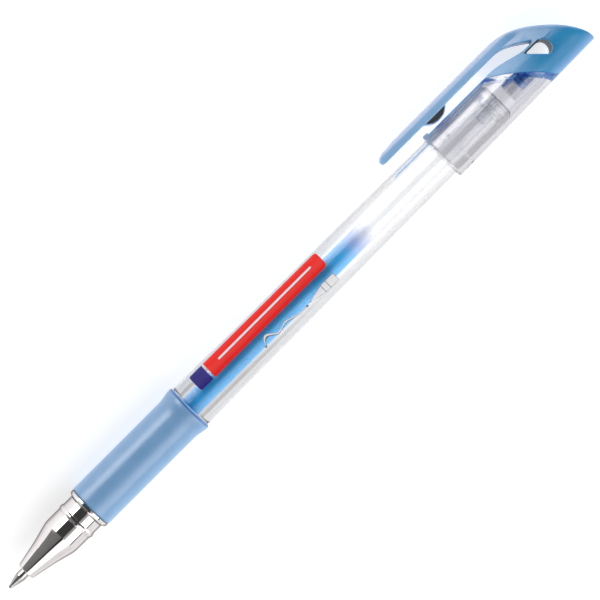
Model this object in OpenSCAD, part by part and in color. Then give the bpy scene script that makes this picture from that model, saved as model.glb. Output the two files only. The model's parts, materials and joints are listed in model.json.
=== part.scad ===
// Gel ink pen with its cap posted on the rear end.
// The pen lies along X: the writing ball touches x = 0 and the cap is at the far end.
// The parts are drawn with the clip pointing along +Y, and lying() then rolls the pen about
// its axis until it rests on its cap and on the clip's lower edge. Sizes are in millimetres.

/* [Pen] */
// Diameter of the writing ball
ball_d = 0.7; // [0.5:0.1:0.8]
// Outer diameter of the straight part of the grip
grip_d = 10; // [9.8:0.05:10.2]
// Outer diameter of the barrel just behind the grip
barrel_front_d = 9.9; // [9.6:0.1:10]
// Where the barrel ends, measured from the ball
barrel_end = 137.6; // [136.8:0.1:137.8]
// Radial running clearance between parts that slide or turn
clearance = 0.05; // [0.03:0.01:0.08]

/* [Refill] */
// Outer diameter of the ink tube
refill_d = 4.4; // [4:0.1:4.6]
// Wall thickness of the ink tube
refill_wall = 0.4; // [0.3:0.05:0.5]
// Where the ink column ends, measured from the ball
ink_end = 93.2; // [40:1:115]
// Length of the follower grease behind the ink
follower_length = 10; // [4:0.5:14]

/* [Cap] */
// Where the rim of the posted cap is, measured from the ball
cap_rim = 122; // [121.6:0.1:122.4]
// Outer diameter of the clear cap at its rim
cap_d = 11.1; // [10.8:0.1:11.4]
// Height of the flat under the clip, measured from the pen's axis
cap_flat = 4.86; // [4.8:0.02:5]

/* [Clip] */
// Width of the clip at its root
clip_width = 5; // [4:0.5:5.5]
// Where the free end of the clip is, measured from the ball
clip_tip = 112.1; // [108:0.5:116]
// Height of the clip's underside above the pen's axis
clip_under = 6.76; // [6.6:0.02:6.9]
// Height of the clip's upper side above the pen's axis
clip_top = 9.06; // [8.8:0.02:9.2]

/* [Hidden] */
$fn = 96;
joint_gap = 0.01;

// writing point and its holder
ball_r = ball_d / 2;
lip_x = 0.22;
point_r = 1.08;
point_cone_end = 2.9;
point_collar = [8.5, 9.4];
point_end = 14;
holder_front_r = 1.75;
holder_end = 27;

// refill
refill_r = refill_d / 2;
refill_bore = refill_r - refill_wall;
refill_start = 21;
refill_end = 135.4;
follower_end = ink_end + follower_length;

// nose
nose_front = 4.6;
nose_r = 4.2;
nose_bead_r = 4.5;
flange = [22, 23];
flange_r = 4.9;
thread_end = 31;
thread_r = 3.55;
thread_pitch = 1;
thread_depth = 0.25;
ring_x = [24, 25];

// grip and barrel
grip_r = grip_d / 2;
grip_start = flange[1];
grip_end = 51.2;
grip_seat_r = 4.2;
barrel_front_r = barrel_front_d / 2;
barrel_cap_r = 4.4;
barrel_rear_r = 4.3;
barrel_bore = 3.4;
thread_bore = thread_r + clearance + 0.02;

// cap
cap_r = cap_d / 2;
cap_bore = barrel_cap_r + clearance;
cap_inner_r = 4.3;
cap_end_wall = 1;
sleeve_start = 140.4;
sleeve_r = 2.15;
seal_x = [143, 143.9];
seal_r = 1.7;
seal_y = -0.6;
cap_end = 160.5;
cap_end_r = 5.04;
cap_slope = (cap_r - cap_end_r) / (cap_end - cap_rim);
seam_r = 44.5;
seam_centre = [115.7, -33.2];

// clip and arch
split_x = 143;
nub_r = 3.9;
nub_centre = [126.95, 9.23];
nub_half_width = 2.1;
nub_recess = 0.5;
nub_wall = 0.25;
clip_edge = 0.7;

// How far the pen rolls towards its clip before the clip's lower edge meets the surface
clip_corner = [clip_top - clip_edge, clip_width / 2];
rest_roll = 90 - acos(cap_r / norm(clip_corner)) - atan2(clip_corner[1], clip_corner[0]);

// Puts a part in the pen's resting place.
module lying() {
    rotate([-rest_roll, 0, 0])
        children();
}

// Points of a cubic curve from a to d, with b and c as its handles.
function curve(a, b, c, d, steps = 10) = [
    for (i = [0:steps])
        let (t = i / steps, u = 1 - t)
            u * u * u * a + 3 * u * u * t * b + 3 * u * t * t * c + t * t * t * d
];

// Points of an arc.
function arc(centre, r, from, to, steps = 6) = [
    for (i = [0:steps])
        let (angle = from + (to - from) * i / steps)
            centre + r * [cos(angle), sin(angle)]
];

// A solid of revolution about the pen's axis, from points of [x, radius].
module turned(outline) {
    rotate([0, 90, 0])
        rotate_extrude()
            polygon([for (p = outline) [p[1], p[0]]]);
}

// A plain cylinder on the pen's axis.
module rod(from, to, r) {
    translate([from, 0, 0])
        rotate([0, 90, 0])
            cylinder(h = to - from, r = r);
}

// The metal ball that rolls in the point.
module ball() {
    lying() color("dimgray")
        translate([ball_r, 0, 0])
            sphere(r = ball_r);
}

// The turned metal point: a conical socket for the ball and a stepped shank.
module writing_point() {
    lying() color("silver")
        difference() {
            turned([
                [lip_x, 0], [lip_x, ball_r + 0.03], [0.6, ball_r + 0.08],
                [point_cone_end, point_r - 0.04], [point_cone_end + 0.2, point_r],
                [point_collar[0], point_r], [point_collar[0], point_r + 0.35],
                [point_collar[1], point_r + 0.35], [point_collar[1], point_r - 0.14],
                [point_end, point_r - 0.14], [point_end, 0]
            ]);
            translate([ball_r, 0, 0])
                sphere(r = ball_r + 0.02);
            rod(ball_r, 2.2, 0.16);
            rod(2, point_end + 1, 0.45);
        }
}

// The plastic adapter that carries the point and plugs the front of the ink tube.
module point_holder() {
    shank_bore = point_r - 0.13;
    lying() color("whitesmoke")
        difference() {
            turned([
                [point_collar[1], 0], [point_collar[1], holder_front_r - 0.3],
                [point_collar[1] + 0.4, holder_front_r], [19.4, holder_front_r],
                [19.6, refill_r], [refill_start, refill_r],
                [refill_start, refill_bore - joint_gap],
                [holder_end - 0.4, refill_bore - joint_gap], [holder_end, refill_bore - 0.3],
                [holder_end, 0]
            ]);
            rod(point_collar[1] - 1, point_end + joint_gap, shank_bore);
            rod(point_end, holder_end + 1, 0.8);
        }
}

// The long clear tube that holds the ink.
module refill_tube() {
    lying() color("azure", 0.4)
        turned([
            [refill_start, refill_bore], [refill_start, refill_r],
            [refill_end, refill_r], [refill_end, refill_bore]
        ]);
}

// The gel ink, from the point's shank to the follower.
module ink_column() {
    lying() color("dodgerblue")
        turned([
            [point_end + 0.05, 0], [point_end + 0.05, 0.78], [holder_end + 0.02, 0.78],
            [holder_end + 0.02, refill_bore - joint_gap], [ink_end, refill_bore - joint_gap],
            [ink_end, 0]
        ]);
}

// The slug of clear grease that follows the ink and keeps air out.
module follower_grease() {
    lying() color("lightblue", 0.5)
        turned([
            [ink_end + 0.01, 0], [ink_end + 0.01, refill_bore - joint_gap],
            [follower_end, refill_bore - joint_gap], [follower_end - 0.5, 0]
        ]);
}

// The vented stopper in the rear end of the ink tube.
module refill_tail_plug() {
    spigot = 3;
    rim = 0.6;
    lying() color("whitesmoke")
        difference() {
            turned([
                [refill_end - spigot, 0], [refill_end - spigot, refill_bore - 0.2],
                [refill_end - spigot + 0.4, refill_bore - joint_gap],
                [refill_end, refill_bore - joint_gap], [refill_end, refill_r - 0.1],
                [refill_end + rim, refill_r - 0.1], [refill_end + rim, 0]
            ]);
            rod(refill_end - spigot - 1, refill_end + rim + 1, 0.4);
        }
}

// The chromed nose: it centres the point and screws into the barrel.
module nose_cone() {
    crests = floor((thread_end - ring_x[1] - 1) / thread_pitch);
    lying() color("gainsboro")
        difference() {
            turned(concat(
                [[nose_front, 0]],
                arc([nose_front + 0.35, 1.62], 0.35, 180, 100),
                [[10, 3.02]],
                curve([12.6, 3.72], [14, 4.1], [14.4, nose_r], [15.4, nose_r], 6),
                [[18.2, nose_r]],
                curve([18.4, nose_r], [18.6, nose_bead_r], [19.4, nose_bead_r], [19.6, nose_r], 8),
                [[flange[0] - 0.4, nose_r]],
                curve([flange[0] - 0.2, nose_r], [flange[0], 4.35], [flange[0], flange_r],
                    [flange[0] + 0.5, flange_r], 6),
                [[flange[1] - 0.1, flange_r], [flange[1], flange_r - 0.1]],
                [[flange[1], thread_r], [ring_x[0], thread_r], [ring_x[0], thread_r - 0.45]],
                [[ring_x[1], thread_r - 0.45], [ring_x[1], thread_r]],
                [
                    for (i = [0:crests - 1])
                        for (p = [[0.5, 0], [0.7, -thread_depth], [1, -thread_depth], [1.2, 0]])
                            [ring_x[1] + i * thread_pitch + p[0] * thread_pitch, thread_r + p[1]]
                ],
                [[thread_end - 0.2, thread_r], [thread_end, thread_r - 0.2], [thread_end, 0]]
            ));
            rod(nose_front - 1, 8, point_r + clearance + 0.02);
            turned([
                [7.6, 0], [7.6, 1.3], [8.2, holder_front_r + 0.12], [19.3, holder_front_r + 0.12],
                [19.4, refill_r + 0.12], [thread_end + 1, refill_r + 0.12], [thread_end + 1, 0]
            ]);
        }
}

// The soft ring in the groove behind the nose's flange.
module nose_sealing_ring() {
    lying() color("dimgray")
        turned(concat(
            [[ring_x[0] + 0.05, thread_r - 0.44], [ring_x[0] + 0.05, thread_r - 0.1]],
            arc([(ring_x[0] + ring_x[1]) / 2, thread_r - 0.4], 0.42, 135, 45),
            [[ring_x[1] - 0.05, thread_r - 0.1], [ring_x[1] - 0.05, thread_r - 0.44]]
        ));
}

// The rubber sleeve, straight where it is held and flared at the rear.
module grip_sleeve() {
    lying() color("cornflowerblue")
        turned(concat(
            [[grip_start + 0.02, grip_seat_r + joint_gap]],
            arc([grip_start + 0.37, grip_r - 0.35], 0.35, 180, 90),
            [[47, grip_r]],
            curve([47.5, grip_r], [49, grip_r + 0.1], [49.4, grip_r + 0.38], [50.3, grip_r + 0.42], 8),
            curve([50.5, grip_r + 0.42], [51, grip_r + 0.4], [grip_end, grip_r + 0.2],
                [grip_end, grip_r - 0.1], 5),
            [[grip_end, grip_seat_r + joint_gap]]
        ));
}

// The clear barrel: a seat for the grip, a socket for the nose and an open rear end.
module barrel() {
    step = grip_end + 0.05;
    lying() color("white", 0.35)
        turned(concat(
            [[grip_start + 0.02, thread_bore], [grip_start + 0.02, grip_seat_r]],
            [[step, grip_seat_r], [step, barrel_front_r - 0.2], [step + 0.25, barrel_front_r]],
            [[cap_rim - 0.5, barrel_cap_r], [barrel_end - 0.5, barrel_rear_r]],
            arc([barrel_end - 0.5, barrel_rear_r - 0.5], 0.5, 90, 0),
            [[barrel_end, barrel_bore], [thread_end + 1.2, barrel_bore]],
            [[thread_end + 0.8, thread_bore]]
        ));
}

// The vented plug in the rear of the barrel, with a pocket that centres the refill.
module barrel_end_plug() {
    spigot = 3;
    lying() color("white", 0.5)
        difference() {
            turned([
                [barrel_end - spigot, 0], [barrel_end - spigot, barrel_bore - 0.2],
                [barrel_end - spigot + 0.5, barrel_bore - joint_gap],
                [barrel_end + 0.01, barrel_bore - joint_gap],
                [barrel_end + 0.01, barrel_rear_r - 0.5],
                [barrel_end + 0.4, barrel_rear_r - 0.6], [barrel_end + 0.5, 0]
            ]);
            rod(barrel_end - spigot - 1, refill_end + 0.8, refill_r + 0.08);
            rod(refill_end, barrel_end + 2, 0.6);
        }
}

// The outside of the whole cap, clear part and crown together, without its flat.
module cap_round(from, to) {
    turned([
        [from, 0], [from, cap_r - cap_slope * (from - cap_rim)],
        [to, cap_r - cap_slope * (to - cap_rim)], [to, 0]
    ]);
}

// The space in front of the curved seam between the clear part and the crown.
module seam_cutter(extra = 0) {
    translate([seam_centre[0], seam_centre[1], -10])
        cylinder(h = 20, r = seam_r + extra, $fn = 360);
}

// The clear part of the cap: a thin tube with a flat under the clip, closed by a slanted wall.
// The sleeve on that wall guides the pen's point to the seal.
module cap_body() {
    rim_x = cap_rim + 1.3;
    rim_flat = cap_flat + 0.4;
    lying() color("lightsteelblue", 0.4)
        difference() {
            intersection() {
                union() {
                    turned(concat(
                        [[cap_rim, 0]],
                        arc([cap_rim + 0.45, cap_r - 0.45], 0.45, 180, 90),
                        [[rim_x, cap_r - cap_slope * (rim_x - cap_rim)], [rim_x, 0]]
                    ));
                    cap_round(rim_x, 153);
                }
                union() {
                    translate([cap_rim - 1, -10, -10])
                        cube([rim_x - cap_rim + 1, 10 + rim_flat, 20]);
                    translate([rim_x - 0.1, -10, -10])
                        cube([40, 10 + cap_flat, 20]);
                }
                seam_cutter();
            }
            difference() {
                intersection() {
                    turned([
                        [cap_rim - 1, 0], [cap_rim - 1, cap_bore + 0.3], [cap_rim, cap_bore + 0.3],
                        [cap_rim + 0.3, cap_bore], [cap_rim + 2, cap_bore],
                        [cap_rim + 2.6, cap_bore + 0.1], [cap_rim + 3.4, cap_bore + 0.1],
                        [cap_rim + 4, cap_bore], [barrel_end + 0.4, cap_bore],
                        [153, cap_inner_r], [153, 0]
                    ]);
                    seam_cutter(-cap_end_wall);
                }
                translate([0, seal_y, 0])
                    rod(sleeve_start, 153, sleeve_r);
            }
            translate([0, seal_y, 0])
                rod(sleeve_start - 1, 153, seal_r);
        }
}

// The soft pad that the point rests on when the cap is on the front.
module cap_tip_seal() {
    lying() color("royalblue")
        translate([0, seal_y, 0])
            rod(seal_x[0], seal_x[1], seal_r - joint_gap);
}

// The side outline of the crown and the arch that carries the clip.
module crown_outline() {
    difference() {
        polygon(concat(
            [[split_x, clip_top]],
            curve([144.2, clip_top], [149, clip_top], [152.4, 6.6], [155.6, 3.4]),
            curve([155.8, 3.2], [158, 0.95], [160.1, -1.9], [cap_end, -cap_end_r]),
            [[cap_end, -6], [138, -6], [138, cap_flat], [138.8, cap_flat]],
            curve([139, cap_flat], [142.5, 5.1], [144.5, 4], [148.2, 3.26]),
            [[151, 3.26]],
            curve([151.1, 3.3], [148.6, 4.9], [146.4, clip_under], [143.6, clip_under]),
            [[split_x, clip_under]]
        ));
        polygon(concat(
            [[148, 2.55]],
            curve([151.4, 2.55], [154, 2.6], [153.4, -1.4], [151.3, -0.75])
        ));
    }
}

// The blue end of the cap: it plugs the clear part and rises into the clip's arch.
module cap_crown() {
    half = clip_width / 2;
    lying() color("steelblue") {
        difference() {
            intersection() {
                translate([0, 0, -7])
                    linear_extrude(14)
                        crown_outline();
                union() {
                    cap_round(137, cap_end + 1);
                    translate([137, 0, 0])
                        rotate([0, 90, 0])
                            linear_extrude(cap_end + 1 - 137)
                                polygon([
                                    [clip_edge - half, clip_top], [-half, clip_top - clip_edge],
                                    [-half, clip_under], [-4.7, 2.2], [4.7, 2.2],
                                    [half, clip_under], [half, clip_top - clip_edge],
                                    [half - clip_edge, clip_top]
                                ]);
                }
            }
            seam_cutter(joint_gap);
        }
        translate([0, seal_y, 0])
            rod(seal_x[1] + 0.01, 149, seal_r - joint_gap);
    }
}

// The clip's blade, seen from the side.
module blade_outline() {
    polygon(concat(
        curve([clip_tip + 0.9, clip_under], [clip_tip + 0.2, clip_under],
            [clip_tip, clip_under + 0.2], [clip_tip, clip_under + 0.8], 5),
        curve([clip_tip, clip_under + 1], [clip_tip + 0.1, clip_top - 0.4],
            [clip_tip + 1.7, clip_top - 0.25], [clip_tip + 4.3, clip_top - 0.1], 8),
        [[clip_tip + 10, clip_top], [split_x, clip_top], [split_x, clip_under]]
    ));
}

// The springy clip: a tapered blade with a half-round nub under it.
module clip() {
    half = clip_width / 2;
    tip_half = half - 0.5;
    body_x = clip_tip + 10;
    body_half = half - 0.3;
    taper = atan((half - body_half) / (split_x - body_x));
    lying() color("cornflowerblue") {
        difference() {
            intersection() {
                translate([0, 0, -half])
                    linear_extrude(clip_width)
                        blade_outline();
                rotate([-90, 0, 0])
                    linear_extrude(12)
                        polygon(concat(
                            arc([clip_tip + tip_half, 0], tip_half, 90, 270, 12),
                            [[body_x, -body_half], [split_x, -half]],
                            [[split_x, half], [body_x, body_half]]
                        ));
            }
            for (side = [-1, 1])
                translate([split_x, clip_top, side * (half - clip_edge)])
                    rotate([0, -side * taper, 0])
                        rotate([side * 45, 0, 0])
                            translate([-40, 0, -5])
                                cube([45, 5, 10]);
        }
        difference() {
            intersection() {
                translate([nub_centre[0], nub_centre[1], -nub_half_width])
                    cylinder(h = 2 * nub_half_width, r = nub_r);
                translate([nub_centre[0] - 5, clip_under - 2, -5])
                    cube([10, 2.2, 10]);
            }
            for (side = [-1, 1])
                translate([nub_centre[0], nub_centre[1], side * nub_half_width - nub_recess])
                    intersection() {
                        cylinder(h = 2 * nub_recess, r = nub_r - nub_wall);
                        translate([-5, clip_under - 3 - nub_centre[1], -1])
                            cube([10, 3, 4]);
                    }
        }
    }
}

ball();
writing_point();
point_holder();
refill_tube();
ink_column();
follower_grease();
refill_tail_plug();
nose_cone();
nose_sealing_ring();
grip_sleeve();
barrel();
barrel_end_plug();
cap_body();
cap_tip_seal();
cap_crown();
clip();
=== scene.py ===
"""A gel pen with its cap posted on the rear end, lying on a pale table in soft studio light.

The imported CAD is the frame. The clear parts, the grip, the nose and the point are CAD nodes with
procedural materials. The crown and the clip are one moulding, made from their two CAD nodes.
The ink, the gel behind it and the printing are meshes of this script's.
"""

import json
import math

import bmesh
import bpy
import numpy as np
from mathutils import Matrix, Vector


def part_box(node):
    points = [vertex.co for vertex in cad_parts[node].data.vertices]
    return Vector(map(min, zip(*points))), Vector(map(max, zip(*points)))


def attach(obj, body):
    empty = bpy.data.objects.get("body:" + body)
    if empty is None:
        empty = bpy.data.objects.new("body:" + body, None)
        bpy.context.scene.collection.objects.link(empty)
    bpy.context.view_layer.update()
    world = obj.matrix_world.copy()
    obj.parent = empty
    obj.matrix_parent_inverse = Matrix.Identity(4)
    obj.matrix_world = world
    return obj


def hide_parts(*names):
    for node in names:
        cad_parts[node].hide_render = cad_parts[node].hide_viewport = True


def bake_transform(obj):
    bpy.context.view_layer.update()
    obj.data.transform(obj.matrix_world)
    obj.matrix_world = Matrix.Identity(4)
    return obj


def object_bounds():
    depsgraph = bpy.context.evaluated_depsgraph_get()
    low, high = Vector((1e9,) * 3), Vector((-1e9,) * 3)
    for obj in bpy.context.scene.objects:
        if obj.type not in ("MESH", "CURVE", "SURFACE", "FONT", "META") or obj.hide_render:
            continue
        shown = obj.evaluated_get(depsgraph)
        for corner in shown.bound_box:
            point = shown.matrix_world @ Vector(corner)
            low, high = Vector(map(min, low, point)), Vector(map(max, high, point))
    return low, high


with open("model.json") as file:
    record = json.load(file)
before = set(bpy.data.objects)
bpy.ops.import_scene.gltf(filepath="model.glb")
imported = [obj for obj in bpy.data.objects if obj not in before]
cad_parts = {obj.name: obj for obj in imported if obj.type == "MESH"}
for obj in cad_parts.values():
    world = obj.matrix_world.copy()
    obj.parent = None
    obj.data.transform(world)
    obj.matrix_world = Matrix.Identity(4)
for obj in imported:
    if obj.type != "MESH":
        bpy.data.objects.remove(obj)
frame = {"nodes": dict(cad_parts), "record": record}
CAD_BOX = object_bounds()

MM = 0.001
JOINTS = {joint["name"]: joint for joint in frame["record"]["behaviour"]["joints"]}

# The pen's own axes: ALONG it to the cap, CLIP to the clip's side and FACE to the printed side.
ALONG = Vector((1, 0, 0))
FACE = -Vector(JOINTS["clip_flex"]["axis"]).normalized()
CLIP = FACE.cross(ALONG).normalized()
PEN_AXES = np.array((ALONG, CLIP, FACE))
ROLL = math.atan2(FACE.y, FACE.z)

# Sizes of the CAD, in millimetres. Places are (x, y) on the pen's own axes.
SEAM_CENTRE = (115.7, -33.2)  # of the slanted joint between the clear cap and its crown
SEAM_R = 44.5
NUB_CENTRE = (126.95, 9.23)
NUB_R = 3.9
NUB_HALF = 2.1
CLIP_UNDER = 6.76  # height of the clip's underside
BARREL_FRONT = (51.45, 4.95)  # (x, radius) where the barrel leaves the grip
BARREL_REAR = (121.5, 4.4)  # (x, radius) where it reaches the cap


def at(x, y, z):
    """The place in the row frame, in metres, of a point on the pen's own axes in millimetres."""
    return (ALONG * x + CLIP * y + FACE * z) * MM


def polar(x, r, angle):
    """A point x along the pen at radius r, turned by angle from FACE towards CLIP."""
    return at(x, r * math.sin(angle), r * math.cos(angle))


def start_of(node):
    """Where a CAD node starts along the pen, in millimetres."""
    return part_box(node)[0][0] / MM


def end_of(node):
    """Where a CAD node ends along the pen, in millimetres."""
    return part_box(node)[1][0] / MM


def show(obj):
    """Puts an object into the scene."""
    bpy.context.scene.collection.objects.link(obj)
    return obj


# ---------------------------------------------------------------- node trees


def opaque(colour):
    """A grey value or a colour of three parts, as a colour of four."""
    if isinstance(colour, (int, float)):
        colour = (colour,) * 3
    return tuple(colour) + (1,)


class Nodes:
    """A node tree, with short names for the nodes that this script uses."""

    def __init__(self, tree):
        self.tree = tree

    def node(self, kind, **settings):
        made = self.tree.nodes.new(kind)
        for key, value in settings.items():
            setattr(made, key, value)
        return made

    def link(self, source, target):
        """Feeds an input from another node, or gives it a plain value."""
        if isinstance(source, (int, float, tuple)):
            target.default_value = source
        else:
            self.tree.links.new(source, target)

    def math(self, operation, a, b=0.0, c=0.0, clamp=False):
        made = self.node("ShaderNodeMath", operation=operation, use_clamp=clamp)
        for value, socket in zip((a, b, c), made.inputs):
            self.link(value, socket)
        return made.outputs[0]

    def times(self, a, b):
        """The product of two values."""
        return self.math("MULTIPLY", a, b)

    def toward(self, direction, axis):
        """The cosine of the angle between a direction and an axis."""
        made = self.node("ShaderNodeVectorMath", operation="DOT_PRODUCT")
        self.link(direction, made.inputs[0])
        made.inputs[1].default_value = axis
        return made.outputs["Value"]

    def ramp(self, value, *stops):
        made = self.node("ShaderNodeValToRGB")
        self.link(value, made.inputs[0])
        band = made.color_ramp
        while len(band.elements) < len(stops):
            band.elements.new(0.5)
        for element, (where, colour) in zip(band.elements, stops):
            element.position = where
            element.color = opaque(colour)
        return made.outputs[0]

    def step(self, value, start, end):
        """0 before start and 1 after end, with a smooth rise between."""
        made = self.node("ShaderNodeMapRange", interpolation_type="SMOOTHSTEP")
        self.link(value, made.inputs["Value"])
        made.inputs["From Min"].default_value = start
        made.inputs["From Max"].default_value = end
        return made.outputs["Result"]

    def mix(self, factor, a, b):
        """Colour a where the factor is 0, and b where it is 1."""
        made = self.node("ShaderNodeMix", data_type="RGBA")
        self.link(factor, made.inputs["Factor"])
        for value, socket in ((a, made.inputs[6]), (b, made.inputs[7])):
            self.link(opaque(value) if isinstance(value, tuple) else value, socket)
        return made.outputs[2]


class Finish(Nodes):
    """A Principled material, whose patterns lie on the pen's own axes in millimetres."""

    def __init__(self, name, **sockets):
        self.mat = bpy.data.materials.new(name)
        self.mat.use_nodes = True
        super().__init__(self.mat.node_tree)
        self.shader = self.tree.nodes["Principled BSDF"]
        self.bumps = None
        for socket, value in sockets.items():
            self.set(socket.replace("_", " "), value)
        self.place = self.node("ShaderNodeTexCoord")
        turn = self.node("ShaderNodeMapping")
        turn.inputs["Rotation"].default_value = (ROLL, 0, 0)
        turn.inputs["Scale"].default_value = (1 / MM,) * 3
        self.link(self.place.outputs["Object"], turn.inputs["Vector"])
        self.mm = turn.outputs["Vector"]
        parts = self.node("ShaderNodeSeparateXYZ")
        self.link(self.mm, parts.inputs[0])
        self.x, self.y, _ = parts.outputs

    def set(self, socket, value):
        self.link(value, self.shader.inputs[socket])

    def stretched(self, x, y, z):
        """Coordinates that stretch a pattern along the axes whose factor is below 1."""
        made = self.node("ShaderNodeVectorMath", operation="MULTIPLY")
        self.link(self.mm, made.inputs[0])
        made.inputs[1].default_value = (x, y, z)
        return made.outputs[0]

    def noise(self, scale, detail=3.0, roughness=0.5, stretch=None):
        """Noise whose features are about 1 / scale millimetres."""
        made = self.node("ShaderNodeTexNoise")
        self.link(stretch or self.mm, made.inputs["Vector"])
        made.inputs["Scale"].default_value = scale
        made.inputs["Detail"].default_value = detail
        made.inputs["Roughness"].default_value = roughness
        return made.outputs["Fac"]

    def between(self, value, start, end, soft):
        """1 from start to end, 0 outside."""
        rise = self.step(value, start - soft, start + soft)
        fall = self.step(value, end - soft, end + soft)
        return self.math("SUBTRACT", rise, fall, clamp=True)

    def facing(self, axis, start, end):
        """0 to 1 as the surface turns towards an axis."""
        return self.step(self.toward(self.place.outputs["Normal"], axis), start, end)

    def reach(self, centre):
        """Distance in millimetres from a line across the pen, parallel to FACE."""
        across = self.math("SUBTRACT", self.x, centre[0])
        up = self.math("SUBTRACT", self.y, centre[1])
        return self.math("SQRT", self.math("ADD", self.times(across, across), self.times(up, up)))

    def vary(self, socket, value, least, most):
        """Sets a socket from a 0 to 1 value, scaled to run from least to most."""
        made = self.node("ShaderNodeMapRange")
        self.link(value, made.inputs["Value"])
        made.inputs["To Min"].default_value = least
        made.inputs["To Max"].default_value = most
        self.set(socket, made.outputs["Result"])

    def bump(self, height, depth):
        """Adds relief that is depth millimetres deep."""
        made = self.node("ShaderNodeBump")
        made.inputs["Distance"].default_value = depth * MM
        self.link(height, made.inputs["Height"])
        if self.bumps is not None:
            self.link(self.bumps, made.inputs["Normal"])
        self.bumps = made.outputs["Normal"]
        self.set("Normal", self.bumps)

    def lets_light_through(self, tint):
        """Light passes straight through to what is behind, as it does through thin clear walls."""
        path = self.node("ShaderNodeLightPath")
        clear = self.node("ShaderNodeBsdfTransparent")
        clear.inputs["Color"].default_value = opaque(tint)
        both = self.node("ShaderNodeMixShader")
        soft = self.math("MAXIMUM", path.outputs["Is Shadow Ray"], path.outputs["Is Diffuse Ray"])
        self.link(soft, both.inputs[0])
        self.link(self.shader.outputs[0], both.inputs[1])
        self.link(clear.outputs[0], both.inputs[2])
        self.link(both.outputs[0], self.tree.nodes["Material Output"].inputs["Surface"])


# ---------------------------------------------------------------- materials

WAVE_PERIOD = 0.314  # of the bands of a wave texture at scale 1


def turned_metal(name, light, dark, rough, pitch):
    """Metal with the fine rings that a lathe leaves, pitch millimetres apart."""
    f = Finish(name, Metallic=1.0, Specular_Tint=(0.35, 0.33, 0.32, 1))
    smear = f.noise(0.9, stretch=f.stretched(2.4, 0.35, 0.35))
    f.set("Base Color", f.ramp(smear, (0.3, dark), (0.7, light)))
    f.vary("Roughness", f.noise(3.0, stretch=f.stretched(1, 0.4, 0.4)), *rough)
    rings = f.node("ShaderNodeTexWave", wave_type="BANDS", bands_direction="X")
    f.link(f.mm, rings.inputs["Vector"])
    rings.inputs["Scale"].default_value = WAVE_PERIOD / pitch
    rings.inputs["Distortion"].default_value = 0.6
    rings.inputs["Detail"].default_value = 2.0
    f.bump(rings.outputs["Fac"], 0.0006)
    return f.mat


def clear_plastic(name, tint, shadow, rough, ripple=0.0012, index=1.49, edges=None, front=None):
    """Clear moulded plastic, with the faint flow ripples of a moulding.

    Its edges and its front end can each be given painted shade, as a tint and the millimetres over
    which the tint sets in. The middle has less of the front's painted shade.
    """
    f = Finish(name, Transmission_Weight=1.0, IOR=index)
    cloud = f.noise(0.35, stretch=f.stretched(0.25, 1, 1))
    paler = tuple(min(1, part * 1.02) for part in tint)
    body = f.ramp(cloud, (0.25, tint), (0.75, paler))
    off_middle = f.math("ABSOLUTE", f.y)
    # painted shade: greyer towards the edges
    if edges:
        body = f.mix(f.step(off_middle, *edges[1]), body, edges[0])
    # painted shade: greyer towards the front end, with less of it in the middle
    if front:
        sides = f.ramp(f.step(off_middle, 2.0, 3.0), (0.0, 0.35), (1.0, 1.0))
        body = f.mix(f.times(f.step(f.x, *front[1]), sides), body, front[0])
    f.set("Base Color", body)
    f.vary("Roughness", f.noise(1.3), *rough)
    f.bump(f.noise(0.5, detail=1.0, stretch=f.stretched(0.3, 1, 1)), ripple)
    f.lets_light_through(shadow)
    return f.mat


def plastic(name, light, dark, rough):
    """Opaque moulded plastic with a little mottling."""
    f = Finish(name, IOR=1.5)
    f.set("Base Color", f.ramp(f.noise(0.5, detail=4.0), (0.3, dark), (0.7, light)))
    f.vary("Roughness", f.noise(2.0), *rough)
    f.bump(f.noise(6.0, detail=2.0), 0.003)
    return f.mat


def rubber(name, light, dark, rough):
    """Soft matte rubber with a fine grain."""
    f = Finish(name, Sheen_Weight=0.15, Sheen_Roughness=0.4, IOR=1.48)
    f.set("Base Color", f.ramp(f.noise(0.8, detail=5.0), (0.3, dark), (0.7, light)))
    f.vary("Roughness", f.noise(3.0, detail=4.0), *rough)
    f.bump(f.noise(9.0, detail=3.0), 0.006)
    return f.mat


def chrome():
    """Chrome plate with a slight haze and the smears of handling."""
    f = Finish("chrome", Metallic=1.0, Specular_Tint=(0.16, 0.14, 0.14, 1))
    haze = f.noise(0.45, detail=4.0)
    f.set("Base Color", f.ramp(haze, (0.3, (0.77, 0.735, 0.73)), (0.7, (0.83, 0.795, 0.79))))
    wipe = f.noise(1.6, detail=5.0, stretch=f.stretched(3.0, 0.3, 0.3))
    f.vary("Roughness", wipe, 0.03, 0.11)
    f.bump(f.noise(0.8, detail=2.0, stretch=f.stretched(1.6, 0.4, 0.4)), 0.0012)
    return f.mat


def grip_rubber():
    """Satin blue rubber with pale specks, a dark line at its front and a blue one at its rear."""
    front, rear = start_of("grip_sleeve"), end_of("grip_sleeve")
    f = Finish("grip_rubber", Sheen_Weight=0.1, Sheen_Roughness=0.35, IOR=1.5, Specular_IOR_Level=1.0)
    cloud = f.noise(0.35, detail=5.0, roughness=0.6)
    body = f.ramp(cloud, (0.3, (0.18, 0.36, 0.62)), (0.7, (0.21, 0.4, 0.67)))
    specks = f.times(f.step(f.noise(7.0, detail=1.0), 0.68, 0.74), 0.25)
    body = f.mix(specks, body, (0.3, 0.48, 0.68))
    front_line = f.times(f.step(f.x, front + 0.5, front + 0.1), 0.6)
    body = f.mix(front_line, body, (0.02, 0.17, 0.35))
    rear_line = f.between(f.x, rear - 0.5, rear - 0.1, 0.05)
    f.set("Base Color", f.mix(rear_line, body, (0.02, 0.12, 0.4)))
    f.vary("Roughness", f.noise(2.2, detail=5.0), 0.26, 0.36)
    f.bump(f.noise(8.0, detail=3.0, roughness=0.65), 0.010)
    return f.mat


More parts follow.
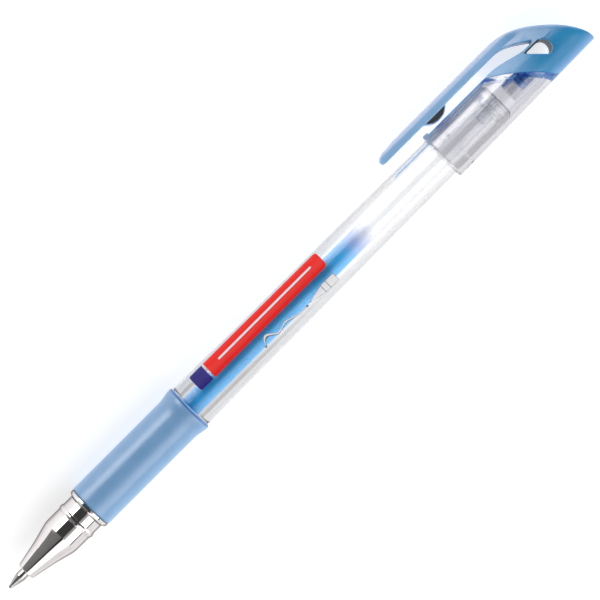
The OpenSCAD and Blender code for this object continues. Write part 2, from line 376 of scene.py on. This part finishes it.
def ink_blue():
    """Blue gel ink."""
    f = Finish("ink", IOR=1.36)
    streak = f.noise(0.5, detail=4.0, stretch=f.stretched(0.3, 1, 1))
    f.set("Base Color", f.ramp(streak, (0.3, (0.042, 0.43, 0.92)), (0.7, (0.057, 0.48, 0.97))))
    f.vary("Roughness", f.noise(1.0), 0.1, 0.25)
    f.bump(f.noise(0.7), 0.01)
    return f.mat


def follower_gel(start, end):
    """Ink at the front that thins out into clear gel."""
    f = Finish("follower_gel", IOR=1.4)
    wander = f.math("MULTIPLY_ADD", f.noise(0.4, detail=3.0), 1.6, -0.8)
    place = f.math("ADD", f.x, wander)
    f.set("Base Color", f.ramp(
        f.step(place, start, end),
        (0.0, (0.06, 0.47, 0.95)), (0.1, (0.14, 0.48, 0.94)), (0.32, (0.34, 0.54, 0.95)),
        (0.65, (0.58, 0.67, 0.97)), (1.0, (0.9, 0.93, 1.0)),
    ))
    fade_start = start + 0.25 * (end - start)
    f.vary("Alpha", f.step(place, fade_start, end + 0.5), 1.0, 0.0)
    f.vary("Roughness", f.noise(1.5), 0.15, 0.3)
    return f.mat


def crown_blue():
    """Glossy blue, paler along the thin clip and deeper at the crown, partly its own tone and partly
    painted light, with a painted highlight on the upper side, painted light on the underside and
    painted shade in a groove. Its places are in millimetres.
    """
    deepens = (136, 152)  # along a line that leans with the arch
    arch_over = (4.7, 5.7)  # the y above which the skin is the arch's or the clip's
    arch_behind = (149, 151.5)  # the x after which it is the arch's
    arch_thickens = (147, 154)
    underside = (-2.4, -5.0)
    seam_line = (SEAM_R + 0.12, SEAM_R + 0.02)
    below_clip = (6.0, 5.6)
    groove_x, groove_y = (147.9, 151.9), (2.5, 2.9)  # along the teardrop opening's upper edge

    f = Finish("crown_blue", IOR=1.5, Specular_IOR_Level=0.3, Coat_Weight=0.08, Coat_Roughness=0.06)
    cloud = f.noise(0.22, detail=4.0)
    # thin and thick: paler along the clip, deeper at the crown; partly the moulding's own tone and
    # partly painted light for the reflections on the curved crown
    thick = f.ramp(cloud, (0.3, (0.028, 0.245, 0.5)), (0.7, (0.04, 0.285, 0.56)))
    thin = f.ramp(cloud, (0.3, (0.27, 0.48, 0.76)), (0.7, (0.3, 0.52, 0.82)))
    leaning = f.math("MULTIPLY_ADD", f.y, -0.8, f.x)
    body = f.mix(f.step(leaning, *deepens), thin, thick)

    # a painted highlight on the upper side of the arch and the clip, on faces turned towards CLIP,
    # weaker where the arch thickens
    on_arch = f.math("MAXIMUM", f.step(f.y, *arch_over), f.step(f.x, *arch_behind))
    top_highlight_mask = f.times(f.facing(CLIP, 0.1, 0.75), on_arch)
    top_highlight_strength = f.math("MULTIPLY_ADD", f.step(f.x, *arch_thickens), -0.5, 0.95)
    body = f.mix(f.times(top_highlight_mask, top_highlight_strength), body, (0.58, 0.66, 0.88))
    # painted light: the underside is paler
    body = f.mix(f.times(f.step(f.y, *underside), 0.7), body, (0.2, 0.36, 0.66))

    broken = f.ramp(f.noise(0.9, detail=1.0), (0.42, 0.2), (0.6, 0.95))
    on_seam = f.times(f.step(f.reach(SEAM_CENTRE), *seam_line), f.step(f.y, *below_clip))
    body = f.mix(f.times(on_seam, broken), body, (0.004, 0.1, 0.5))
    # painted shade: a dark line in the groove along the opening's upper edge
    groove_shade = f.times(f.between(f.x, *groove_x, 0.12), f.between(f.y, *groove_y, 0.05))
    f.set("Base Color", f.mix(groove_shade, body, (0.03, 0.035, 0.045)))

    f.vary("Roughness", f.noise(1.4, detail=4.0), 0.2, 0.32)
    f.bump(f.noise(0.5, detail=2.0), 0.008)
    f.bump(f.noise(7.0, detail=2.0), 0.0015)
    return f.mat


def print_ink(name, light, dark, rough=(0.4, 0.55), gloss=0.2):
    """Screen-printed ink, with the mesh's faint dots in it."""
    f = Finish(name, IOR=1.5, Specular_IOR_Level=gloss)
    f.set("Base Color", f.ramp(f.noise(2.5, detail=5.0), (0.3, dark), (0.7, light)))
    f.vary("Roughness", f.noise(5.0), *rough)
    dots = f.node("ShaderNodeTexVoronoi", feature="F1")
    f.link(f.mm, dots.inputs["Vector"])
    dots.inputs["Scale"].default_value = 8.0
    f.bump(dots.outputs["Distance"], 0.0015)
    return f.mat


MATERIALS = {
    "ball": turned_metal("ball_metal", (0.1, 0.1, 0.11), (0.05, 0.05, 0.06), (0.25, 0.4), 0.03),
    "writing_point": turned_metal(
        "point_metal", (0.56, 0.55, 0.54), (0.4, 0.39, 0.38), (0.14, 0.28), 0.07,
    ),
    "point_holder": plastic("white_plastic", (0.86, 0.87, 0.88), (0.8, 0.81, 0.83), (0.3, 0.42)),
    "refill_tube": clear_plastic(
        "refill_clear", (0.975, 0.98, 0.985), (0.985, 0.99, 0.995), (0.12, 0.2), 0.0004, 1.4,
    ),
    "refill_tail_plug": clear_plastic(
        "tail_clear", (0.95, 0.96, 0.975), (0.97, 0.975, 0.985), (0.1, 0.22),
    ),
    "nose_cone": chrome(),
    "nose_sealing_ring": rubber(
        "seal_rubber", (0.025, 0.025, 0.03), (0.015, 0.015, 0.018), (0.5, 0.7),
    ),
    "grip_sleeve": grip_rubber(),
    # painted shade: the barrel is greyer at its edges and towards its front
    "barrel": clear_plastic(
        "barrel_clear", (0.962, 0.963, 0.966), (0.985, 0.985, 0.99), (0.05, 0.09), 0.0002, 1.4,
        edges=((0.6, 0.6, 0.61), (3.4, 4.5)), front=((0.64, 0.635, 0.635), (104, 58)),
    ),
    "barrel_end_plug": clear_plastic(
        "end_plug_clear", (0.955, 0.96, 0.97), (0.97, 0.975, 0.985), (0.08, 0.2),
    ),
    # painted shade: the cap is greyer at its edges
    "cap_body": clear_plastic(
        "cap_clear", (0.77, 0.766, 0.785), (0.94, 0.94, 0.96), (0.02, 0.07), 0.003,
        edges=((0.56, 0.555, 0.58), (4.2, 5.3)),
    ),
    "cap_tip_seal": rubber("cap_seal", (0.14, 0.36, 0.82), (0.1, 0.3, 0.74), (0.45, 0.6)),
}
for node, mat in MATERIALS.items():
    slots = frame["nodes"][node].data.materials
    slots.clear()
    slots.append(mat)

# painted shade: a dark plastic for the rear wall of the crown's opening and the sides of the nub,
# where they lie in shadow
SHADE_PAINT = plastic("painted_shade", (0.05, 0.052, 0.055), (0.03, 0.032, 0.035), (0.4, 0.55))


# ---------------------------------------------------------------- meshes


def piece(name, mesh, body, slot, *materials, smooth=True):
    """A visual piece. One that is given no body is attached to none."""
    obj = show(bpy.data.objects.new(name, mesh))
    for mat in materials:
        mesh.materials.append(mat)
    if smooth:
        for polygon in mesh.polygons:
            polygon.use_smooth = True
    if body:
        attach(obj, body)
    return obj


def mesh_from(name, points, faces):
    """A closed mesh whose faces all point outwards."""
    mesh = bpy.data.meshes.new(name)
    mesh.from_pydata([tuple(p) for p in points], [], faces)
    edit = bmesh.new()
    edit.from_mesh(mesh)
    bmesh.ops.recalc_face_normals(edit, faces=edit.faces)
    edit.to_mesh(mesh)
    edit.free()
    return mesh


def revolved(name, outline, segments=96):
    """A solid of revolution about the pen's axis. Its outline starts and ends on the axis."""
    points, faces, rings = [], [], []
    for x, r in outline:
        if r == 0:
            rings.append([len(points)])
            points.append(at(x, 0, 0))
        else:
            rings.append(list(range(len(points), len(points) + segments)))
            points += [polar(x, r, 2 * math.pi * i / segments) for i in range(segments)]
    for a, b in zip(rings, rings[1:]):
        for i in range(segments):
            j = (i + 1) % segments
            if len(a) == 1:
                faces.append((a[0], b[i], b[j]))
            elif len(b) == 1:
                faces.append((a[i], b[0], a[j]))
            else:
                faces.append((a[i], b[i], b[j], a[j]))
    return mesh_from(name, points, faces)


# ---------------------------------------------------------------- the ink and the gel behind it

INK_R = 1.85  # a little into the tube's wall, so that no air shows between them
THROAT_R = 0.78  # of the ink inside the point holder
SHORT = 0.05  # length of the faces next to an end, which keep its shading off the long sides

ink_start, ink_rear = start_of("ink_column"), end_of("ink_column")
tube_start = end_of("point_holder") + 0.02
gel_start, gel_rear = ink_rear + 0.01, end_of("follower_grease")
ink = piece(
    "ink_fill",
    revolved("ink_fill", [
        (ink_start, 0), (ink_start, THROAT_R - 0.08), (ink_start + 0.1, THROAT_R),
        (tube_start, THROAT_R), (tube_start, INK_R), (tube_start + SHORT, INK_R),
        (ink_rear - SHORT, INK_R), (ink_rear, INK_R), (ink_rear, 0),
    ]),
    "refill", "ink", ink_blue(),
)
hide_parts("ink_column")
gel = piece(
    "follower_gel",
    revolved("follower_gel", [
        (gel_start, 0), (gel_start, INK_R), (gel_start + SHORT, INK_R), (gel_rear - 1, INK_R),
        (gel_rear - 0.2, INK_R - 0.02), (gel_rear - 0.45, 1.2), (gel_rear - 0.6, 0),
    ]),
    "refill", "grease", follower_gel(ink_rear, gel_rear),
)
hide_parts("follower_grease")


# ---------------------------------------------------------------- the crown and the clip


def nub_arc(r, top, steps=28):
    """The half-round outline of the nub up to the height top, as points of (x, y)."""
    spread = math.acos((NUB_CENTRE[1] - top) / r)
    angles = [spread * (2 * i / steps - 1) for i in range(steps + 1)]
    return [(NUB_CENTRE[0] + r * math.sin(a), NUB_CENTRE[1] - r * math.cos(a)) for a in angles]


def stacked(levels):
    """Points and faces of a closed plate made of outlines, each a pair of points and a height."""
    points, faces = [], []
    count = len(levels[0][0])
    for outline, z in levels:
        points += [at(x, y, z) for x, y in outline]
    for layer in range(len(levels) - 1):
        for i in range(count):
            p, q = layer * count + i, layer * count + (i + 1) % count
            faces.append((p, q, q + count, p + count))
    faces.append(tuple(range(count))[::-1])
    faces.append(tuple(range(len(points) - count, len(points))))
    return points, faces


def coordinates(mesh):
    """A mesh's vertices, one to a row, in metres."""
    co = np.empty(3 * len(mesh.vertices))
    mesh.vertices.foreach_get("co", co)
    return co.reshape(-1, 3)


def move(mesh, co):
    """Puts a mesh's vertices at new coordinates."""
    mesh.vertices.foreach_set("co", co.ravel())
    mesh.update()


def relax(mesh, weight, rounds):
    """Smooths a mesh, each vertex by its own weight."""
    co = coordinates(mesh)
    ends = np.empty(2 * len(mesh.edges), int)
    mesh.edges.foreach_get("vertices", ends)
    pairs = ends.reshape(-1, 2)
    a, b = np.concatenate([pairs, pairs[:, ::-1]]).T
    near = np.maximum(np.bincount(a, minlength=len(co)), 1)
    for _ in range(rounds):
        mean = np.stack([np.bincount(a, co[b, k], len(co)) / near for k in range(3)], 1)
        co += weight[:, None] * (mean - co)
    move(mesh, co)


def press_on_seam(mesh):
    """The crown's curved front face bears on the clear wall with no air between them."""
    found_within, sunk = 0.12, 0.03
    front_r, front_top = 5.1, 4.6
    co = coordinates(mesh) / MM
    x, y, z = PEN_AXES @ co.T
    across, up = x - SEAM_CENTRE[0], y - SEAM_CENTRE[1]
    reach = np.hypot(across, up)
    front = (abs(reach - SEAM_R) < found_within) & (np.hypot(y, z) < front_r) & (y < front_top)
    outward = np.outer(across, ALONG) + np.outer(up, CLIP)
    shift = ((SEAM_R - sunk - reach) / reach)[:, None] * outward
    co[front] += shift[front]
    move(mesh, co * MM)


def soften_upper_side(mesh):
    """Rounds the upper edges of the clip and the arch, up to just before the pen's end."""
    slice_width = 0.3
    soft_depth, fading = 1.9, 0.8
    last_x = 160.0
    x, y, _ = PEN_AXES @ coordinates(mesh).T / MM
    slices = ((x - x.min()) / slice_width).astype(int)
    top = np.full(slices.max() + 1, -np.inf)
    np.maximum.at(top, slices, y)
    slope = np.gradient(top, slice_width)
    depth = (top[slices] - y) / np.sqrt(1 + slope[slices] ** 2)
    near_top = np.clip((soft_depth - depth) / fading, 0, 1)
    relax(mesh, 0.5 * near_top * np.clip(last_x - x, 0, 1), 100)


def moulding():
    """The CAD's crown and clip under one skin, with the recesses in the nub filled."""
    voxel = 0.15
    edit = bmesh.new()
    for node in ("cap_crown", "clip"):
        edit.from_mesh(frame["nodes"][node].data)
    bmesh.ops.remove_doubles(edit, verts=edit.verts, dist=1e-7)
    filling = nub_arc(NUB_R - 0.05, CLIP_UNDER + 0.3)
    edit.from_mesh(mesh_from("nub_filling", *stacked([(filling, -NUB_HALF), (filling, NUB_HALF)])))
    shell = bpy.data.meshes.new("cad_shell")
    edit.to_mesh(shell)
    edit.free()
    source = show(bpy.data.objects.new("cad_shell", shell))
    skin = source.modifiers.new("skin", "REMESH")
    skin.mode = "VOXEL"
    skin.voxel_size = voxel * MM
    graph = bpy.context.evaluated_depsgraph_get()
    mesh = bpy.data.meshes.new_from_object(source.evaluated_get(graph))
    bpy.data.objects.remove(source)
    mesh.name = "cap_crown_and_clip"
    mesh.materials.clear()
    relax(mesh, np.full(len(mesh.vertices), 0.5), 4)
    press_on_seam(mesh)
    soften_upper_side(mesh)
    return mesh


def in_teardrop(polygon):
    """Whether a face is on the rear wall of the crown's small opening, which gets painted shade."""
    from_x, to_x = 151.2, 153.6
    from_y, to_y = -1.4, 2.8
    half = 3.9
    x, y, z = (polygon.center.dot(axis) / MM for axis in (ALONG, CLIP, FACE))
    is_wall = abs(polygon.normal.dot(FACE)) < 0.5
    return is_wall and from_x < x < to_x and from_y < y < to_y and abs(z) < half


crown = piece("cap_crown_and_clip", moulding(), None, "cap_blue", crown_blue(), SHADE_PAINT)
# faces on the opening's rear wall get the painted shade
for polygon in crown.data.polygons:
    if in_teardrop(polygon):
        polygon.material_index = 1
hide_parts("cap_crown", "clip")
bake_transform(crown)

# A disc of painted shade is let into each side of the nub, in place of its shaded recess
disc_points, disc_faces = [], []
disc_rim = nub_arc(NUB_R - 0.2, CLIP_UNDER - 0.04)
disc_top = nub_arc(NUB_R - 0.28, CLIP_UNDER - 0.12)
for side in (-1, 1):
    points, faces = stacked([
        (disc_rim, side * (NUB_HALF - 0.5)), (disc_rim, side * (NUB_HALF + 0.02)),
        (disc_top, side * (NUB_HALF + 0.06)),
    ])
    disc_faces += [tuple(i + len(disc_points) for i in face) for face in faces]
    disc_points += points
discs = mesh_from("nub_shade_discs", disc_points, disc_faces)
piece("nub_shade_discs", discs, "clip", "cap_blue", SHADE_PAINT, smooth=False)


# ---------------------------------------------------------------- printing on the barrel

# Places are x along the pen and y round the barrel from FACE, in millimetres.
SUNK = 0.012  # how far the underside of a film is inside the barrel's wall
LIFT = 0.02
SECOND_LIFT = 0.028  # of a film that is printed over another

PANEL_Y = (0.72, 5.2)
STRIPE_Y = (2.7, 3.2)
SCRIBBLE = (
    (70.5, -2.2), (71.2, -1.1), (72, -0.72), (73, -1.28), (74, -2.05), (75, -1.95), (76.6, -1.5),
    (78.2, -1.9), (80, -2.35), (81.7, -2.35),
)
STROKE_HALF = (
    (70.5, 0.12), (71.2, 0.38), (72.2, 0.38), (73.6, 0.27), (75, 0.2), (76.6, 0.24), (79, 0.19),
    (81.7, 0.13),
)
DOT_R = 0.28
POINT_START, POINT_SHOULDER, POINT_END = 82.9, 86.9, 90.2
POINT_Y = -2.2


def film(name, xs, lower, upper, mat, rows=10, lift=LIFT):
    """A thin film on the barrel, whose lower and upper edges are functions of x."""
    (x0, r0), (x1, r1) = BARREL_FRONT, BARREL_REAR
    points, faces = [], []
    for level in (-SUNK, lift):
        for x in xs:
            r = r0 + (r1 - r0) * (x - x0) / (x1 - x0)
            a, b = lower(x) / r, upper(x) / r
            points += [polar(x, r + level, a + (b - a) * k / rows) for k in range(rows + 1)]
    wide, long = rows + 1, len(xs)
    layer = wide * long
    for i in range(long - 1):
        for k in range(rows):
            p = i * wide + k
            quad = (p, p + 1, p + wide + 1, p + wide)
            faces.append(quad[::-1])
            faces.append(tuple(q + layer for q in quad))
    rim = list(range(wide))
    rim += [i * wide + rows for i in range(1, long)]
    rim += [(long - 1) * wide + k for k in range(rows - 1, -1, -1)]
    rim += [i * wide for i in range(long - 2, 0, -1)]
    for p, q in zip(rim, rim[1:] + rim[:1]):
        faces.append((p, q, q + layer, p + layer))
    return piece(name, mesh_from(name, points, faces), "barrel", "cap_blue", mat, smooth=False)


def spaced(start, end, step):
    """Even values from start to end, about step apart."""
    count = max(2, round((end - start) / step))
    return [start + (end - start) * i / count for i in range(count + 1)]


def panel(name, start, end, y, step, mat, front_r=0, rear_r=0, **settings):
    """A straight film with corners of a given radius at its front and its rear."""
    def inset(x):
        cut = 0.0
        for into, radius in ((x - start, front_r), (end - x, rear_r)):
            if into < radius:
                cut = radius - math.sqrt(max(0, radius ** 2 - (radius - into) ** 2))
        return cut

    xs = spaced(start, end, step)
    return film(name, xs, lambda x: y[0] + inset(x), lambda x: y[1] - inset(x), mat, **settings)


def through(points, x):
    """Height at x of a smooth line through points of (x, height)."""
    for k in range(len(points) - 1):
        if x <= points[k + 1][0]:
            break
    (x0, y0), (x1, y1) = points[k], points[k + 1]
    before, after = points[max(0, k - 1)], points[min(len(points) - 1, k + 2)]
    run = x1 - x0
    rise0 = (y1 - before[1]) / (x1 - before[0]) * run
    rise1 = (after[1] - y0) / (after[0] - x0) * run
    u = min(1, max(0, (x - x0) / run))
    return (
        (2 * u ** 3 - 3 * u ** 2 + 1) * y0 + (u ** 3 - 2 * u ** 2 + u) * rise0
        + (3 * u ** 2 - 2 * u ** 3) * y1 + (u ** 3 - u ** 2) * rise1
    )


def scribble(name, lower, upper, mat, **settings):
    """A film along the scribbled line, its edges given as parts of the stroke's half width."""
    def edge(part):
        return lambda x: through(SCRIBBLE, x) + part * through(STROKE_HALF, x)

    xs = spaced(SCRIBBLE[0][0], SCRIBBLE[-1][0], 0.1)
    return film(name, xs, edge(lower), edge(upper), mat, **settings)


def dot(name, x, y, mat):
    """A round dot at an end of the scribbled line."""
    def half(place):
        return math.sqrt(max(0, DOT_R ** 2 - (place - x) ** 2))

    xs = spaced(x - DOT_R, x + DOT_R, 0.04)
    return film(name, xs, lambda place: y - half(place), lambda place: y + half(place), mat, rows=4)


def point_picture(name, start, end, part, inset, mat, **settings):
    """A slice of the picture of a writing point: a curved cone, and then a straight shaft."""
    def half(x):
        along = min(1, max(0, (x - POINT_START) / (POINT_SHOULDER - POINT_START)))
        return part * (0.05 + along ** 0.85) - inset

    xs = spaced(start, end, 0.1)
    lower, upper = (lambda x: POINT_Y - half(x)), (lambda x: POINT_Y + half(x))
    return film(name, xs, lower, upper, mat, rows=6, **settings)


RED = print_ink("print_red", (0.95, 0.012, 0.006), (0.88, 0.009, 0.004), (0.34, 0.46), 0.22)
NAVY = print_ink("print_navy", (0.03, 0.022, 0.25), (0.02, 0.014, 0.19))
WHITE = print_ink("print_white", (0.86, 0.86, 0.87), (0.8, 0.8, 0.82))
GREY = print_ink("print_grey", (0.16, 0.165, 0.17), (0.1, 0.105, 0.11), (0.3, 0.45))

panel("print_block", 55.2, 58.6, PANEL_Y, 0.1, NAVY, front_r=0.5)
panel("print_panel", 59.1, 90.6, PANEL_Y, 0.15, RED, rear_r=0.8)
scribble("print_scribble", -1, 1, GREY, rows=4)
scribble("print_scribble_shine", -0.3, 0.85, WHITE, rows=2, lift=SECOND_LIFT)
dot("print_dot_start", 70.5, -2.25, GREY)
dot("print_dot_end", 82.0, -2.38, GREY)
point_picture("print_point_outline", POINT_START, POINT_END, 1.0, 0.0, GREY)
for name, start, end in (("tip", 83.2, 86.6), ("ring", 86.72, 87.9), ("shaft", 88.02, 90.1)):
    point_picture("print_point_" + name, start, end, 0.92, 0.02, WHITE, lift=SECOND_LIFT)
panel(
    "print_stripe", 62, 88, STRIPE_Y, 0.12, WHITE, front_r=0.24, rear_r=0.24, rows=3,
    lift=SECOND_LIFT,
)


# ---------------------------------------------------------------- stage, light and camera

BRIGHTEST = 5.4  # of the tent's softboxes
FAR_END = 2.6  # brightness of the tent beyond the cap
FLOOR_REACH = 6.0  # metres
FLOOR_GLOW = 0.73
LENS, SENSOR = 192, 36  # millimetres
CAMERA_PLACE = (81.8, -0.4, 640)
BOUNCES = 24


def stage_floor():
    """A pale table that glows a little, so that it comes out white without hard light."""
    f = Finish("table", IOR=1.45)
    cloud = f.noise(0.02, detail=3.0)
    f.set("Base Color", f.ramp(cloud, (0.3, (0.47, 0.47, 0.475)), (0.7, (0.49, 0.49, 0.49))))
    f.set("Emission Color", f.ramp(cloud, (0.3, 0.98), (0.7, 1.0)))
    f.set("Emission Strength", FLOOR_GLOW)
    f.vary("Roughness", f.noise(0.1), 0.75, 0.9)
    floor_z = CAD_BOX[0][2]
    corners = [
        (x * FLOOR_REACH, y * FLOOR_REACH, floor_z) for x, y in ((-1, -1), (1, -1), (1, 1), (-1, 1))
    ]
    mesh = bpy.data.meshes.new("table")
    mesh.from_pydata(corners, [], [(0, 1, 2, 3)])
    mesh.materials.append(f.mat)
    obj = show(bpy.data.objects.new("table", mesh))


def light_tent():
    """A white tent with long softboxes on both sides of the pen and a dark slot for the camera."""
    world = bpy.data.worlds.new("light_tent")
    world.use_nodes = True
    bpy.context.scene.world = world
    tent = Nodes(world.node_tree)
    direction = tent.node("ShaderNodeTexCoord").outputs["Generated"]
    to_nose, to_cap = tent.toward(direction, -ALONG), tent.toward(direction, ALONG)

    angle = tent.math("ARCTAN2", tent.toward(direction, CLIP), tent.toward(direction, FACE))
    round_pen = tent.node("ShaderNodeMapRange")
    round_pen.inputs["From Min"].default_value = -math.pi
    round_pen.inputs["From Max"].default_value = math.pi
    tent.link(angle, round_pen.inputs["Value"])

    def by_angle(*stops):
        """Brightness at angles in degrees from FACE towards CLIP."""
        places = [((degrees + 180) / 360, value / BRIGHTEST) for degrees, value in stops]
        return tent.ramp(round_pen.outputs["Result"], *places)

    middle = by_angle(
        (-178, 0.9), (-79, 1.0), (-77, 0.05), (-71, 0.05), (-69, 2.8), (-36, 2.5), (-28, 0.5),
        (-18, 0.4), (-14, 0.05), (35, 0.05), (41, 5.4), (110, 4.6),
    )
    nose_end = by_angle(
        (-178, 0.9), (-78, 0.9), (-60, 1.7), (-24, 1.5), (-20, 0.03), (-10, 0.03), (-6, 0.17),
        (72, 0.23), (80, 1.6),
    )
    cap_end = by_angle((-178, 2.4), (-78, 2.4), (-66, 0.04), (64, 0.04), (74, 2.4))
    light = tent.mix(tent.step(to_nose, 0.15, 0.25), middle, nose_end)
    light = tent.mix(tent.step(to_cap, 0.14, 0.26), light, cap_end)
    light = tent.mix(tent.step(to_cap, 0.74, 0.84), light, (FAR_END / BRIGHTEST,) * 3)
    sky = tent.tree.nodes["Background"]
    tent.link(light, sky.inputs["Color"])
    sky.inputs["Strength"].default_value = BRIGHTEST


def camera():
    """Looks straight at the printed side, with the pen running up to the right."""
    data = bpy.data.cameras.new("camera")
    data.lens = LENS
    data.sensor_width = SENSOR
    data.clip_start = 0.01
    data.clip_end = 50
    obj = show(bpy.data.objects.new("camera", data))
    right = (ALONG - CLIP).normalized()
    up = (ALONG + CLIP).normalized()
    turn = Matrix((right, up, FACE)).transposed()
    obj.matrix_world = Matrix.Translation(at(*CAMERA_PLACE)) @ turn.to_4x4()
    bpy.context.scene.camera = obj


stage_floor()
light_tent()
camera()
scene = bpy.context.scene
scene.view_settings.view_transform = "Standard"
scene.cycles.max_bounces = BOUNCES
scene.cycles.transmission_bounces = BOUNCES
scene.cycles.transparent_max_bounces = BOUNCES
scene.cycles.caustics_reflective = False
scene.cycles.caustics_refractive = False
